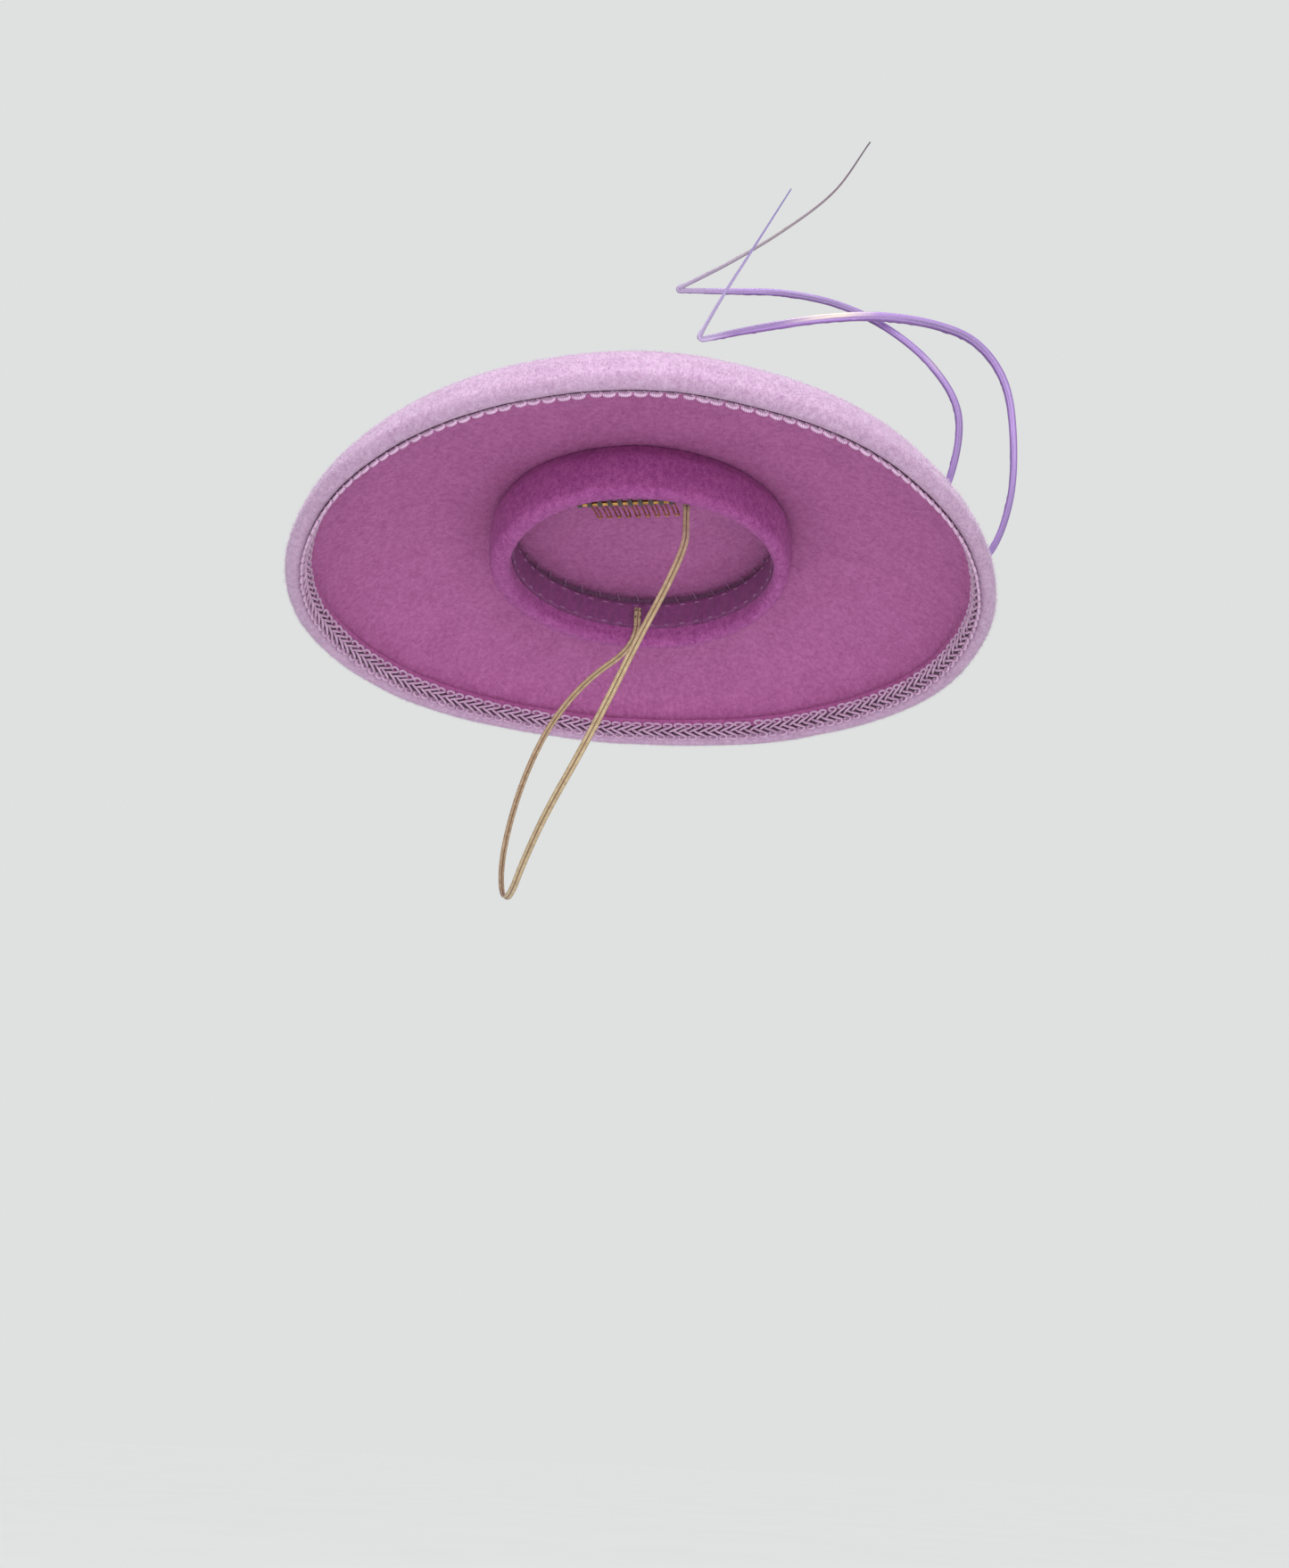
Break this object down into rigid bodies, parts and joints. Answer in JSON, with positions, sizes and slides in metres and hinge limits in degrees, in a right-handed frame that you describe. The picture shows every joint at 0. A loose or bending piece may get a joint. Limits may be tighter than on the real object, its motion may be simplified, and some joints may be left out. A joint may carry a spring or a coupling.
{
  "type": "fascinator headpiece",
  "caption": "Saucer-shaped felt fascinator on a raised felt head ring, with a braid-trimmed rim, a sewn-in wire comb, a round-the-head elastic and two bent stripped quills.",
  "frame": {"origin": "centre of the head ring's lower opening, where the wearer's head goes in", "axes": "+Z is the axis of the round brim, from the head to the crown; the wearer faces -Y, and the wearer's right is -X"},
  "size_m": [0.3018, 0.3122, 0.3307],
  "materials": {
    "brim_felt": "brushed wool felt, lilac",
    "ring_felt": "brushed wool felt, plum lilac",
    "gimp_braid": "looped gimp cord with a dull sheen",
    "millinery_wire": "plain drawn wire",
    "stiff_band": "stiffened woven band",
    "petersham": "ribbed ribbon",
    "sewing_thread": "twisted thread",
    "comb_thread": "dark brown twisted thread",
    "gold_wire": "polished gold-coloured wire",
    "elastic": "ribbed narrow elastic, tan brown",
    "quill": "glossy dyed quill, browner at the tip"
  },
  "bodies": {
    "root": {"crown_felt": "brim_felt", "rim_wire": "millinery_wire", "rim_braid": "gimp_braid", "ring_felt": "ring_felt", "ring_core": "stiff_band", "ring_wire": "millinery_wire", "ring_stitches": "sewing_thread", "petersham_ribbon": "petersham", "petersham_stitches": "sewing_thread", "comb_lashing": "comb_thread", "elastic_tab_right": "elastic", "elastic_tab_left": "elastic", "elastic_stitches": "sewing_thread", "quill_tab": "brim_felt", "quill_stitches": "sewing_thread"},
    "comb": {"comb_bar": "gold_wire", "comb_teeth": "gold_wire"},
    "elastic": {"elastic": "elastic"},
    "quills": {"tall_quill": "quill", "low_quill": "quill"}
  },
  "joints": [
    {"name": "comb_tilt", "type": "hinge", "parent": "root", "child": "comb", "pos_m": [-0.0495, 0.01656, 0.0064], "axis": [0.3173, 0.9483, 0], "range_deg": [0, 70]},
    {"name": "elastic_swing", "type": "hinge", "parent": "root", "child": "elastic", "pos_m": [0, -0.008, 0.008], "axis": [1, 0, 0], "range_deg": [-30, 25]},
    {"name": "quill_sway", "type": "hinge", "parent": "root", "child": "quills", "pos_m": [0.031, -0.0845, 0.0265], "axis": [0, 0, 1], "range_deg": [-5, 5], "stiffness_Nm_per_rad": 0.05}
  ]
}
